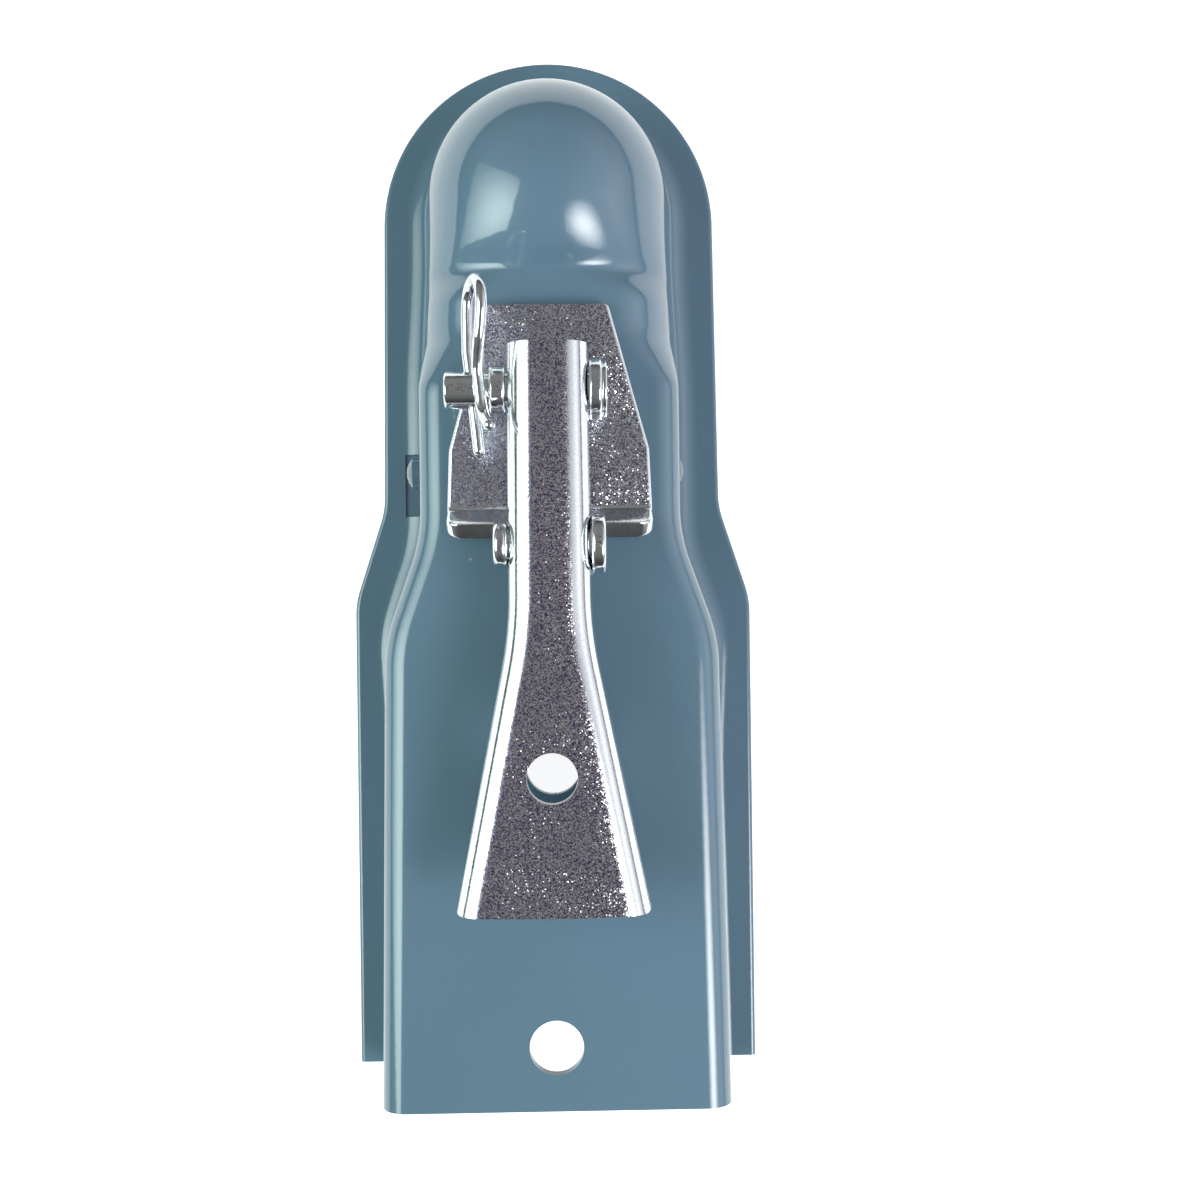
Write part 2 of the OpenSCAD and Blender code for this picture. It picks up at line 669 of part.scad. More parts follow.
module ball_clamp() {
    wedge = 2 * (jaw_in_r + jaw_t);
    color("dimgray")
    difference() {
        union() {
            translate([-clamp_w / 2, arm_start_y, clamp_base_z])
                cube([clamp_w, arm_end_y - arm_start_y, clamp_t]);
            for (s = [0, 1]) mirror([s, 0, 0])
                translate([clamp_w / 2 - arm_rib_t, arm_start_y, clamp_base_z])
                    cube([arm_rib_t, arm_end_y - arm_start_y, clamp_t + arm_rib_h]);
            turned(clamp_y, clamp_pivot_z, concat(
                [for (i = [0 : crown_steps]) crown_point(i, -trunnion_left_x, 1)],
                [for (i = [crown_steps : -1 : 0]) crown_point(i, neck_w / 2 + trunnion_out, -1)]));
            intersection() {
                translate([0, dome_y, ball_z]) sphere(jaw_in_r + jaw_t);
                translate([0, dome_y, jaw_low_z])
                    linear_extrude(jaw_high_z - jaw_low_z)
                        polygon([[0, 0],
                                 wedge * [sin(jaw_half_angle), -cos(jaw_half_angle)],
                                 wedge * [-sin(jaw_half_angle), -cos(jaw_half_angle)]]);
            }
        }
        translate([0, dome_y, ball_z]) sphere(jaw_in_r);
        translate([0, pin_y, clamp_base_z - 1]) cylinder(r = bolt_r + 0.8, h = clamp_t + 2);
        translate([0, pin_y, clamp_top_z]) cylinder(r = spring_r + spring_wire_r + 1, h = 20);
    }
}

coupler_body();
latch_plate();
lever();
lever_rivet();
pivot_pin();
pin_washer();
hairpin_clip();
draw_bolt();
spring_washer();
clamp_spring();
ball_clamp();
nut_washer();
lock_nut();
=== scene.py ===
import math
import bpy
from mathutils import Matrix, Vector


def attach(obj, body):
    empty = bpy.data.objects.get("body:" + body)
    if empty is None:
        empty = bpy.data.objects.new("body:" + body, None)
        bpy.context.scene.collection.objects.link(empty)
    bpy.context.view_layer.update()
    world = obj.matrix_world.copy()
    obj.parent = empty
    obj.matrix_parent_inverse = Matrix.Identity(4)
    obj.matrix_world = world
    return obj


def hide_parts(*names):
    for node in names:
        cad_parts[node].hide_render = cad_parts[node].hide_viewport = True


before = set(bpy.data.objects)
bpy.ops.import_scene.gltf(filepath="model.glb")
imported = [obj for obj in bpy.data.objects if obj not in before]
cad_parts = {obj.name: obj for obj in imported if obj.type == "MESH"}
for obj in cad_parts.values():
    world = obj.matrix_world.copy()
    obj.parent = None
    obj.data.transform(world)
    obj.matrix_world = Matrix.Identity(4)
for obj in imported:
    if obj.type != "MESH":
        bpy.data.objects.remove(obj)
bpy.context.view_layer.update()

# Coupler body: one sheet of steel, deep-drawn over the ball dome and folded down into a channel
# with a flange all round, then holed and dipped in glossy blue-grey enamel. Pieces are drawn
# in millimetres, as on a press drawing, and turned into metres with the mesh.
MM = 0.001
SHEET = 3.2
TOP_Z = 46.0
DOME_Y, DOME_Z, DOME_R = 89.8, 24.0, 30.0
NOSE_R, DOME_LEAD = 43.7, 1.0
FLANGE_Y = DOME_Y - DOME_LEAD
REAR_Y = -132.5
NECK_HALF, FRONT_HALF, REAR_HALF = 31.5, 40.5, 42.2
FLANGE_NECK_HALF, FLANGE_SPREAD = 44.5, 8.0
WALL_DRAFT = 0.4
EDGE_R, NOSE_FOOT_R, REAR_FOOT_R, RIM_R = 6.3, 7.2, 3.8, 1.0
FOOT_NARROWS_Y, FOOT_NARROW_Y = 0.0, -60.0
WALL_LEAVES_DOME_Y = DOME_Y - 8
RAMP_FRONT_Y, RAMP_REAR_Y = 56.0, 39.5
WIDEN_FRONT_Y, WIDEN_REAR_Y = 12.0, -27.0
FLANGE_WIDEN_Y, FLANGE_WIDEN_LEN = 17.5, 31.5
CREASE_Y = DOME_Y - math.sqrt(DOME_R ** 2 - (TOP_Z - DOME_Z) ** 2)
CREASE_ROUND, CREASE_AHEAD, CREASE_BEHIND = 1.2, 3, 8
SADDLE_FLAT = 14.4


def clamp01(t):
    return min(1.0, max(0.0, t))


def mix(a, b, t):
    return a + (b - a) * t


def eased(t, q):
    """A ramp from 0 to 1 that is rounded over the share q at both ends."""
    u = clamp01(t)
    if u < q:
        return u * u / (2 * q * (1 - q))
    if u > 1 - q:
        return 1 - (1 - u) ** 2 / (2 * q * (1 - q))
    return (u - q / 2) / (1 - q)


def between(y, start, end, q):
    return eased((y - start) / (end - start), q)


def rounded_max(a, b, size):
    """The larger of two lengths, with a rounded change-over."""
    return max(a, b) + max(size - abs(a - b), 0.0) ** 2 / (4 * size)


def wall_half(y):
    return (DOME_R
            + (NECK_HALF - DOME_R) * between(y, WALL_LEAVES_DOME_Y, RAMP_REAR_Y, 0.3)
            + (FRONT_HALF - NECK_HALF) * between(y, WIDEN_FRONT_Y, WIDEN_REAR_Y, 0.35)
            + (REAR_HALF - FRONT_HALF) * clamp01((WIDEN_REAR_Y - y) / (WIDEN_REAR_Y - REAR_Y)))


def flange_half(y):
    narrow = clamp01((FLANGE_Y - y) / (FLANGE_Y - FLANGE_WIDEN_Y))
    wide = between(y, FLANGE_WIDEN_Y, FLANGE_WIDEN_Y - FLANGE_WIDEN_LEN, 0.22)
    return NOSE_R + (FLANGE_NECK_HALF - NOSE_R) * narrow + FLANGE_SPREAD * wide


def spine_z(y):
    dome = DOME_Z + math.sqrt(max(0.0, DOME_R ** 2 - (DOME_Y - y) ** 2))
    return rounded_max(TOP_Z, dome, CREASE_ROUND)


def foot_radius(y):
    return mix(NOSE_FOOT_R, REAR_FOOT_R, between(y, FOOT_NARROWS_Y, FOOT_NARROW_Y, 0.3))


def shell_section(w, flange, a, b, z, even, foot_r):
    """The sheet's outline from the spine out to the flange's edge and back inside.

    The flat top turns into the wall over a rounding a wide and b high. Extra points beside each
    rounding keep the shading of the flats flat.
    """
    flat_shares = (0.0, 0.2, 0.4, 0.6, 0.8, 0.97, 1.0)
    flat_n, top_n, foot_n, rim_n = len(flat_shares) - 1, 30, 14, 4
    ledge_in = 0.3
    foot_x = w + WALL_DRAFT + foot_r

    def top(t):
        points = []
        for j in range(top_n + 1):
            turn = mix(max(0.0, 90 * (j - flat_n) / (top_n - flat_n)), 90 * j / top_n, even)
            turn = math.radians(turn)
            points.append(((w - a) * flat_shares[min(j, flat_n)] + (a - t) * math.sin(turn),
                           z - b + (b - t) * math.cos(turn)))
        return points

    def foot(t):
        turns = [math.radians(90 * k / foot_n) for k in range(foot_n + 1)]
        return [(foot_x - (foot_r + t) * math.cos(c), SHEET + foot_r - (foot_r + t) * math.sin(c))
                for c in turns]

    rim = []
    for middle_z, first in ((SHEET - RIM_R, 90), (RIM_R, 0)):
        for k in range(rim_n + 1):
            turn = math.radians(first - 90 * k / rim_n)
            rim.append((flange - RIM_R + RIM_R * math.cos(turn), middle_z + RIM_R * math.sin(turn)))
    ledge = [foot_x + ledge_in, flange - RIM_R - ledge_in]
    upper, lower = [(x, SHEET) for x in ledge], [(x, 0.0) for x in ledge[::-1]]
    return top(0) + foot(0) + upper + rim + lower + foot(SHEET)[::-1] + top(SHEET)[::-1]


def side_section(y):
    """Across the coupler: a full arch on the dome, falling shoulders behind it, then a channel."""
    run_out = between(y, CREASE_Y + CREASE_AHEAD, CREASE_Y - CREASE_BEHIND, 0.4)
    ramp_down = between(y, RAMP_FRONT_Y, RAMP_REAR_Y, 0.25)
    w, z = wall_half(y), spine_z(y)
    return shell_section(w, flange_half(y), mix(w - SADDLE_FLAT * run_out, EDGE_R, ramp_down),
                         mix(z - DOME_Z, EDGE_R, ramp_down), z, 1 - run_out, foot_radius(y))


def nose_section(turn):
    flange = math.sqrt(NOSE_R ** 2 - (DOME_LEAD * math.cos(turn)) ** 2) - DOME_LEAD * math.sin(turn)
    return shell_section(DOME_R, flange, DOME_R, DOME_R, DOME_Z + DOME_R, 1.0, NOSE_FOOT_R)


def mesh_piece(name, points, faces):
    mesh = bpy.data.meshes.new(name)
    mesh.from_pydata([(x * MM, y * MM, z * MM) for x, y, z in points], [], faces)
    mesh.validate()
    for face in mesh.polygons:
        face.use_smooth = True
    piece = bpy.data.objects.new(name, mesh)
    bpy.context.scene.collection.objects.link(piece)
    return piece


def loft(name, rings, folded=False):
    """A skin over rings of equally many points, closed at both ends.

    The ends are flat caps, or on a folded sheet strips across its thickness.
    """
    n = len(rings[0])
    last = (len(rings) - 1) * n
    points = [p for ring in rings for p in ring]
    faces = []
    for k in range(len(rings) - 1):
        for i in range(n):
            j = (i + 1) % n
            faces.append((k * n + i, k * n + j, (k + 1) * n + j, (k + 1) * n + i))
    if folded:
        strips = [(i, i + 1, n - 2 - i, n - 1 - i) for i in range(n // 2 - 1)]
        faces += [strip[::-1] for strip in strips]
        faces += [tuple(last + i for i in strip) for strip in strips]
    else:
        faces.append(tuple(range(n - 1, -1, -1)))
        faces.append(tuple(range(last, last + n)))
    return mesh_piece(name, points, faces)


def applied(piece):
    """The piece with its modifiers worked into its mesh."""
    graph = bpy.context.evaluated_depsgraph_get()
    mesh = bpy.data.meshes.new_from_object(piece.evaluated_get(graph))
    piece.modifiers.clear()
    piece.data = mesh
    return piece


def welded(piece, reach):
    """The piece with points closer than the reach, in metres, made one."""
    weld = piece.modifiers.new("weld", "WELD")
    weld.merge_threshold = reach
    return applied(piece)


def cut(piece, *tools, how="DIFFERENCE"):
    for tool in tools:
        step = piece.modifiers.new("cut", "BOOLEAN")
        step.operation, step.object, step.solver = how, tool, "EXACT"
        applied(piece)
        bpy.data.objects.remove(tool)
    return piece


def prism(outline, low, high, axis="Z"):
    """A straight tool of an outline, along Z (outline in X, Y) or along X (outline in Y, Z)."""
    if axis == "Z":
        rings = [[(u, v, h) for u, v in outline] for h in (low, high)]
    else:
        rings = [[(h, u, v) for u, v in outline] for h in (low, high)]
    return welded(loft("tool", rings), 1e-7)


def disc(r, x=0.0, y=0.0, n=72):
    turns = [math.tau * i / n for i in range(n)]
    return [(x + r * math.cos(turn), y + r * math.sin(turn)) for turn in turns]


def slot_outline(y, r, half, n=24):
    """A slot along Y with round ends."""
    points = []
    for shift, first in ((half, 0.0), (-half, math.pi)):
        for i in range(n + 1):
            turn = first + math.pi * i / n
            points.append((r * math.cos(turn), y + shift + r * math.sin(turn)))
    return points


def crisp(piece, angle):
    """Smooth shading, with an edge where faces meet at more than the angle."""
    for face in piece.data.polygons:
        face.use_smooth = True
    piece.data.set_sharp_from_angle(angle=math.radians(angle))
    return piece


def spread(start, end, n):
    return [mix(start, end, i / n) for i in range(n)]


PIN_Y = 37.9
SLOT_R, SLOT_HALF = 5.95, 2.5
BOLT_YS, BOLT_HOLE_R = (-117.3, -50.3), 6.5
CLAMP_Y, CLAMP_Z, CLAMP_BORE_R = 22.4, 18.0, 4.25
WINDOW_OUT_X, WINDOW_IN_X = -38.8, -27.3
WINDOW_REAR_Y, WINDOW_FRONT_Y = 12.15, 28.65
WINDOW_LOW_Z, WINDOW_HIGH_Z = 2.6, 24.2
NOSE_STEPS = 84
THROUGH = 8
stations = (spread(REAR_Y, WIDEN_REAR_Y, 12) + spread(WIDEN_REAR_Y, FLANGE_WIDEN_Y, 40)
            + spread(FLANGE_WIDEN_Y, RAMP_REAR_Y, 12) + spread(RAMP_REAR_Y, RAMP_FRONT_Y, 22)
            + spread(RAMP_FRONT_Y, CREASE_Y - 4, 12) + spread(CREASE_Y - 4, CREASE_Y + 4, 20)
            + spread(CREASE_Y + 4, DOME_Y, 16))
rings = [[(x, y, z) for x, z in side_section(y)] for y in stations]
for i in range(NOSE_STEPS + 1):
    turn = math.pi * i / NOSE_STEPS
    rings.append([(x * math.cos(turn), DOME_Y + x * math.sin(turn), z)
                  for x, z in nose_section(turn)])
rings += [[(-x, y, z) for x, z in side_section(y)] for y in reversed(stations)]
count = len(rings[0])
far = (len(rings) - 1) * count
skin = []
for k in range(len(rings) - 1):
    for i in range(k * count, (k + 1) * count - 1):
        skin.append((i, i + count, i + count + 1, i + 1))
for i in range(count // 2 - 1):
    j = count - 1 - i
    skin.append((i, i + 1, j - 1, j))
    skin.append((far + j, far + j - 1, far + i + 1, far + i))
body = welded(mesh_piece("coupler_shell", [p for ring in rings for p in ring], skin), 1e-6)
window = [(WINDOW_OUT_X, WINDOW_REAR_Y), (WINDOW_IN_X, WINDOW_REAR_Y),
          (WINDOW_IN_X, WINDOW_FRONT_Y), (WINDOW_OUT_X, WINDOW_FRONT_Y)]
cut(body,
    *[prism(disc(BOLT_HOLE_R, 0, y), TOP_Z - THROUGH, TOP_Z + THROUGH) for y in BOLT_YS],
    prism(slot_outline(PIN_Y, SLOT_R, SLOT_HALF), TOP_Z - THROUGH, TOP_Z + THROUGH),
    prism(window, WINDOW_LOW_Z, WINDOW_HIGH_Z),
    prism(disc(CLAMP_BORE_R, CLAMP_Y, CLAMP_Z), 16, 60, axis="X"))
crisp(body, 32)


def finish(name):
    """A new material; the helpers below add their nodes to the last one made."""
    global nodes, links
    material = bpy.data.materials.new(name)
    material.use_nodes = True
    nodes, links = material.node_tree.nodes, material.node_tree.links
    return material, nodes["Principled BSDF"]


def place(kind="Object"):
    return nodes.new("ShaderNodeTexCoord").outputs[kind]


def noise(scale, detail=2.0, rough=0.5):
    node = nodes.new("ShaderNodeTexNoise")
    node.inputs["Scale"].default_value = scale
    node.inputs["Detail"].default_value = detail
    node.inputs["Roughness"].default_value = rough
    links.new(place(), node.inputs["Vector"])
    return node.outputs["Fac"]


def cells(scale):
    """Irregular cells: their node, and three random numbers for each cell."""
    node = nodes.new("ShaderNodeTexVoronoi")
    node.inputs["Scale"].default_value = scale
    links.new(place(), node.inputs["Vector"])
    parts = nodes.new("ShaderNodeSeparateColor")
    links.new(node.outputs["Color"], parts.inputs[0])
    return node, parts.outputs


def ramp(value, stops):
    node = nodes.new("ShaderNodeValToRGB")
    while len(node.color_ramp.elements) < len(stops):
        node.color_ramp.elements.new(0.5)
    for element, (position, colour) in zip(node.color_ramp.elements, stops):
        element.position, element.color = position, (*colour, 1.0)
    links.new(value, node.inputs["Fac"])
    return node.outputs["Color"]


def grey(level):
    return (level, level, level)


def feed(socket, value):
    """Links a node's output to the socket, or writes a number or colour into it."""
    if isinstance(value, bpy.types.NodeSocket):
        links.new(value, socket)
    else:
        socket.default_value = value


def number(operation, *values):
    node = nodes.new("ShaderNodeMath")
    node.operation = operation
    for socket, value in zip(node.inputs, values):
        feed(socket, value)
    return node.outputs[0]


def tinted(share, first, second, how="MIX"):
    node = nodes.new("ShaderNodeMix")
    node.data_type, node.blend_type = "RGBA", how
    feed(node.inputs["Factor"], share)
    feed(node.inputs["A"], first)
    feed(node.inputs["B"], second)
    return node.outputs["Result"]


def bump(height, strength, distance, below=None):
    node = nodes.new("ShaderNodeBump")
    node.inputs["Strength"].default_value = strength
    node.inputs["Distance"].default_value = distance
    links.new(height, node.inputs["Height"])
    if below is not None:
        links.new(below, node.inputs["Normal"])
    return node.outputs["Normal"]


DUST_SIZE, DUST_SHARE = 0.085, 0.985
DUST_COLOUR = (0.34, 0.42, 0.46, 1.0)
enamel, paint = finish("blue_grey_enamel")
tint = ramp(noise(14.0), [(0.2, (0.114, 0.220, 0.286)), (0.8, (0.144, 0.246, 0.346))])
specks, speck_chance = cells(210.0)
dust = number("MULTIPLY", number("LESS_THAN", specks.outputs["Distance"], DUST_SIZE),
              number("GREATER_THAN", speck_chance[0], DUST_SHARE))
links.new(tinted(dust, tint, DUST_COLOUR), paint.inputs["Base Color"])
links.new(ramp(noise(30.0), [(0.0, grey(0.26)), (1.0, grey(0.32))]), paint.inputs["Roughness"])
orange_peel = bump(noise(420.0, 1.0), 0.05, 0.0004)
links.new(bump(dust, 0.35, 0.0003, below=orange_peel), paint.inputs["Normal"])
links.new(orange_peel, paint.inputs["Coat Normal"])
paint.inputs["Coat Weight"].default_value = 1.0
paint.inputs["Coat IOR"].default_value = 1.75
paint.inputs["Coat Roughness"].default_value = 0.07
paint.inputs["Specular IOR Level"].default_value = 0.2
body.data.materials.append(enamel)
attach(body, "coupler")
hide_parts("coupler_body")

# Latch plate: thick flat plate, narrowed towards the nose, with its rear end bent up into a lip;
# zinc plated after pressing, so the flats show a fine grey and lilac grain and the edges shine.
PLATE_HALF_T, PLATE_TOP_Z, PLATE_EDGE = 2.0, 50.0, 0.9
PLATE_MIDDLE_Z = PLATE_TOP_Z - PLATE_HALF_T
PLATE_FRONT_Y, PLATE_TAPER_Y, PLATE_SIDE_LEN = 59.4, 25.2, 13
PLATE_FRONT_HALF, PLATE_TAPER_HALF, PLATE_REAR_HALF = 14.4, 23.7, 24.2
FRONT_CORNER_R, LIP_CORNER_R, CORNER_STEPS = 0.8, 3.0, 8
BEND_Y, LIP_ANGLE, LIP_BEND_R, LIP_H = 12.2, math.radians(54), 2.0, 5.3


def plate_half(y):
    if y > PLATE_TAPER_Y:
        return mix(PLATE_TAPER_HALF, PLATE_FRONT_HALF,
                   (y - PLATE_TAPER_Y) / (PLATE_FRONT_Y - PLATE_TAPER_Y))
    return mix(PLATE_REAR_HALF, PLATE_TAPER_HALF, clamp01((y - BEND_Y) / PLATE_SIDE_LEN))


def plate_path():
    """The middle of the plate's thickness: half width, lean, and place in Y and Z."""
    quarter = [math.pi / 2 * i / CORNER_STEPS for i in range(CORNER_STEPS + 1)]
    path = []
    for turn in quarter:
        y = PLATE_FRONT_Y - FRONT_CORNER_R * (1 - math.cos(turn))
        half = plate_half(y) - FRONT_CORNER_R * (1 - math.sin(turn))
        path.append((half, 0.0, (y, PLATE_MIDDLE_Z)))
    for y in spread(PLATE_FRONT_Y - FRONT_CORNER_R, BEND_Y, 36)[1:]:
        path.append((plate_half(y), 0.0, (y, PLATE_MIDDLE_Z)))
    bend_r, bend_z = LIP_BEND_R + PLATE_HALF_T, PLATE_TOP_Z + LIP_BEND_R
    for i in range(13):
        turn = LIP_ANGLE * i / 12
        path.append((PLATE_REAR_HALF, turn,
                     (BEND_Y - bend_r * math.sin(turn), bend_z - bend_r * math.cos(turn))))
    lip = (LIP_H - LIP_BEND_R * (1 - math.cos(LIP_ANGLE))) / math.sin(LIP_ANGLE)
    end_y, end_z = path[-1][2]
    for turn in quarter:
        s = lip - LIP_CORNER_R * (1 - math.sin(turn))
        half = PLATE_REAR_HALF - LIP_CORNER_R * (1 - math.cos(turn))
        path.append((half, LIP_ANGLE,
                     (end_y - s * math.cos(LIP_ANGLE), end_z + s * math.sin(LIP_ANGLE))))
    return path


def rounded_ring(half, half_t, r, centre, lean, n=5):
    """A rounded rectangle across X, tipped back by lean, round a centre given in Y and Z."""
    ring = []
    for sx, sz, first in ((1, 1, 0), (-1, 1, 90), (-1, -1, 180), (1, -1, 270)):
        for i in range(n + 1):
            turn = math.radians(first + 90 * i / n)
            x = sx * (half - r) + r * math.cos(turn)
            h = sz * (half_t - r) + r * math.sin(turn)
            ring.append((x, centre[0] + h * math.sin(lean), centre[1] + h * math.cos(lean)))
    return ring


def soften(piece, width, angle=35, segments=3):
    """Small rounded edges, with shading that keeps the flat faces flat."""
    edge = piece.modifiers.new("edge", "BEVEL")
    edge.width, edge.segments, edge.limit_method = width * MM, segments, "ANGLE"
    edge.angle_limit = math.radians(angle)
    edge.harden_normals = True
    return piece


plate = loft("latch_plate_zinc", [rounded_ring(half, PLATE_HALF_T, PLATE_EDGE, centre, lean)
                                  for half, lean, centre in plate_path()])
cut(plate, prism(slot_outline(PIN_Y, SLOT_R, SLOT_HALF),
                 PLATE_TOP_Z - 10, PLATE_TOP_Z + 6))
crisp(plate, 35)
soften(plate, 0.55)

CRYSTALS = 4500.0
# Even pale colour for the zinc's bends and edges, used in place of the grain: painted sheen that
# stands in for their bright reflection bands.
PAINTED_SHEEN_ON_BENDS = (0.90, 0.93, 0.94, 1.0)
BEND_TILT, FLAT_TILT = 0.955, 0.992


def vectors(operation, *values, scale=None):
    node = nodes.new("ShaderNodeVectorMath")
    node.operation = operation
    for socket, value in zip(node.inputs, values):
        feed(socket, value)
    if scale is not None:
        feed(node.inputs["Scale"], scale)
    return node.outputs[0]


def zinc_plating(name, shades, roughness, relief):
    """Zinc grained on its flats, each crystal tilted its own way; its bends take an even pale
    colour, a painted sheen for their bright reflection bands.
    """
    material, metal = finish(name)
    crystals, chance = cells(CRYSTALS)
    lie = nodes.new("ShaderNodeSeparateXYZ")
    links.new(place("Normal"), lie.inputs[0])
    flat = ramp(number("ABSOLUTE", lie.outputs["Z"]),
                [(BEND_TILT, grey(0.12)), (FLAT_TILT, grey(1.0))])
    grain = ramp(chance[0], list(zip((0.0, 0.35, 0.75), shades)))
    # Bends take the even pale painted sheen, flats take the grain.
    links.new(tinted(flat, PAINTED_SHEEN_ON_BENDS, grain), metal.inputs["Base Color"])
    metal.inputs["Metallic"].default_value = 1.0
    links.new(ramp(chance[1], [(0.1, grey(roughness)), (0.9, grey(roughness + 0.08))]),
              metal.inputs["Roughness"])
    patches = ramp(noise(55.0, 3.0, 0.6), [(0.35, grey(0.5)), (0.65, grey(1.4))])
    steep = number("MULTIPLY", number("POWER", chance[2], 1.3), flat)
    steep = number("MULTIPLY", number("MULTIPLY", steep, patches), relief)
    tilt = vectors("SUBTRACT", crystals.outputs["Color"], grey(0.5))
    surface = nodes.new("ShaderNodeNewGeometry")
    facing = vectors("ADD", surface.outputs["Normal"], vectors("SCALE", tilt, scale=steep))
    links.new(vectors("NORMALIZE", facing), metal.inputs["Normal"])
    return material


# The plate's zinc: its shades are a little lighter than the lever's, painted light standing in for
# the extra light the plate catches; its rougher, coarser grain is the plate's own.
plate_zinc = zinc_plating("plate_zinc", [(0.08, 0.07, 0.16), (0.46, 0.45, 0.63), (1.0, 1.0, 1.0)],
                          0.12, 0.66)
plate.data.materials.append(plate_zinc)
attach(plate, "coupler")
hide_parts("latch_plate")

# Lever: folded from one zinc-plated sheet into a channel, narrow at the pivot and flared where the
# hand lifts it; its side walls end in cams that bear on the latch plate.
LEVER_FRONT_Y, LEVER_REAR_Y, FLARE_Y = 47.6, -81.5, -17.1
LEVER_FRONT_W, LEVER_WAIST_W, LEVER_REAR_W, WAIST_ROUND = 18.2, 19.2, 44.6, 1.6
LEVER_TOP_Z, LEVER_UNDER_Z, LEVER_BASE_Z = 70.4, 67.4, 50.3
LEVER_T, LEVER_BEND, LEVER_SPLAY, FOLD_STEPS = 3.0, 6.2, 0.3, 14
PIN_Z, CAM_R = 60.0, 7.5
CAM_Z = LEVER_BASE_Z + CAM_R
GRIP_HALF, GRIP_STEP, GRIP_CORNER_R, GRIP_END_R = 22.4, 0.4, 1.8, 600.0
PIN_BORE_R, LEVER_HOLE_R = 4.3, 5.75
RIVET_Y, RIVET_Z, RIVET_BORE_R = 2.3, 62.8, 4.05


def lever_half(y):
    narrow = mix(LEVER_WAIST_W, LEVER_FRONT_W, (y - FLARE_Y) / (LEVER_FRONT_Y - FLARE_Y)) / 2
    flared = mix(LEVER_WAIST_W, LEVER_REAR_W, (FLARE_Y - y) / (FLARE_Y - LEVER_REAR_Y)) / 2
    return rounded_max(narrow, flared, WAIST_ROUND)


def lever_ring(y):
    """Over the outside of the folded sheet from left to right, then back along its inside."""
    w = lever_half(y)

    def fold(t):
        turns = [math.radians(90 * i / FOLD_STEPS) for i in range(FOLD_STEPS + 1)]
        r = LEVER_BEND - t
        points = [(w - LEVER_BEND + r * math.sin(a), LEVER_TOP_Z - LEVER_BEND + r * math.cos(a))
                  for a in turns]
        return points + [(w + LEVER_SPLAY - t, TOP_Z)]

    outside, inside = fold(0.0), fold(LEVER_T)
    flip = [(-x, z) for x, z in reversed(outside)]
    back = [(-x, z) for x, z in inside]
    return [(x, y, z) for x, z in flip + outside + inside[::-1] + back]


lever_stations = (spread(LEVER_REAR_Y - 1, -30, 10) + spread(-30, -4, 26)
                  + spread(-4, LEVER_FRONT_Y, 8) + [LEVER_FRONT_Y])
lever = loft("lever_channel", [lever_ring(y) for y in lever_stations], folded=True)

# The lever seen from its side, from over the grip down along its lower edge to the cam
REACH, ABOVE_Z, NOSE_EDGE_Z = 5, 75, LEVER_UNDER_Z - 1.5
side = [(LEVER_REAR_Y - REACH, ABOVE_Z), (LEVER_REAR_Y - REACH, 59.5), (FLARE_Y, 57.4),
        (16.9, 56.8), (24.9, LEVER_BASE_Z)]
for degrees in range(0, 100, 5):
    turn = math.radians(degrees)
    side.append((PIN_Y + CAM_R * math.sin(turn), CAM_Z - CAM_R * math.cos(turn)))
side += [(LEVER_FRONT_Y, NOSE_EDGE_Z), (LEVER_FRONT_Y + REACH, NOSE_EDGE_Z),
         (LEVER_FRONT_Y + REACH, ABOVE_Z)]

# The lever seen from above: the slightly curved rear edge of the grip with its round corners
corner = []
for i in range(CORNER_STEPS + 1):
    turn = math.pi / 2 * i / CORNER_STEPS
    corner.append((GRIP_HALF - GRIP_CORNER_R * (1 - math.cos(turn)),
                   LEVER_REAR_Y + GRIP_STEP + GRIP_CORNER_R * (1 - math.sin(turn))))
rear = corner + [(x, LEVER_REAR_Y + GRIP_END_R - math.sqrt(GRIP_END_R ** 2 - x * x))
                 for x in range(19, -20, -2)]
rear += [(-x, y) for x, y in reversed(corner)]
rear += [(-30, LEVER_REAR_Y + 8), (-30, 60), (30, 60), (30, LEVER_REAR_Y + 8)]
cut(lever, prism(side, -30, 30, axis="X"), prism(rear, 40, 80), how="INTERSECT")
cut(lever, prism(disc(PIN_BORE_R, PIN_Y, PIN_Z), -30, 30, axis="X"),
    prism(disc(RIVET_BORE_R, RIVET_Y, RIVET_Z), -30, 30, axis="X"),
    prism(disc(LEVER_HOLE_R, 0, BOLT_YS[1]), 60, 80))
crisp(lever, 35)
soften(lever, 0.45)
zinc = zinc_plating("speckled_zinc", [(0.06, 0.04, 0.13), (0.38, 0.33, 0.56), (1.0, 0.98, 1.0)],
                    0.09, 0.46)
lever.data.materials.append(zinc)
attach(lever, "lever")
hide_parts("lever")

# Rivet across the lever behind the pivot: turned steel, head on the right and its other end
# pressed over on the left, plated with the lever.
FACE_GAP = 0.15
RIVET_R, RIVET_HEAD_R, RIVET_HEAD_T, RIVET_TAIL_R = 4.0, 7.0, 2.8, 5.5


def turned(name, y, z, outline, n=96):
    """A turned piece along X, from its outline as radius and place along X."""
    turns = [math.tau * i / n for i in range(n)]
    rings = []
    for r, x in outline:
        r = max(r, 0.02)
        rings.append([(x, y + r * math.cos(a), z - r * math.sin(a)) for a in turns])
    return crisp(loft(name, rings), 40)


def rounded(r, x0, x1, radius, n=6):
    """The rim of a disc between two places along X, with both corners rounded."""
    turns = [math.pi / 2 * i / n for i in range(n + 1)]
    first = [(r - radius * (1 - math.sin(a)), x0 + radius * (1 - math.cos(a))) for a in turns]
    second = [(r - radius * (1 - math.cos(a)), x1 - radius * (1 - math.sin(a))) for a in turns]
    return first + second


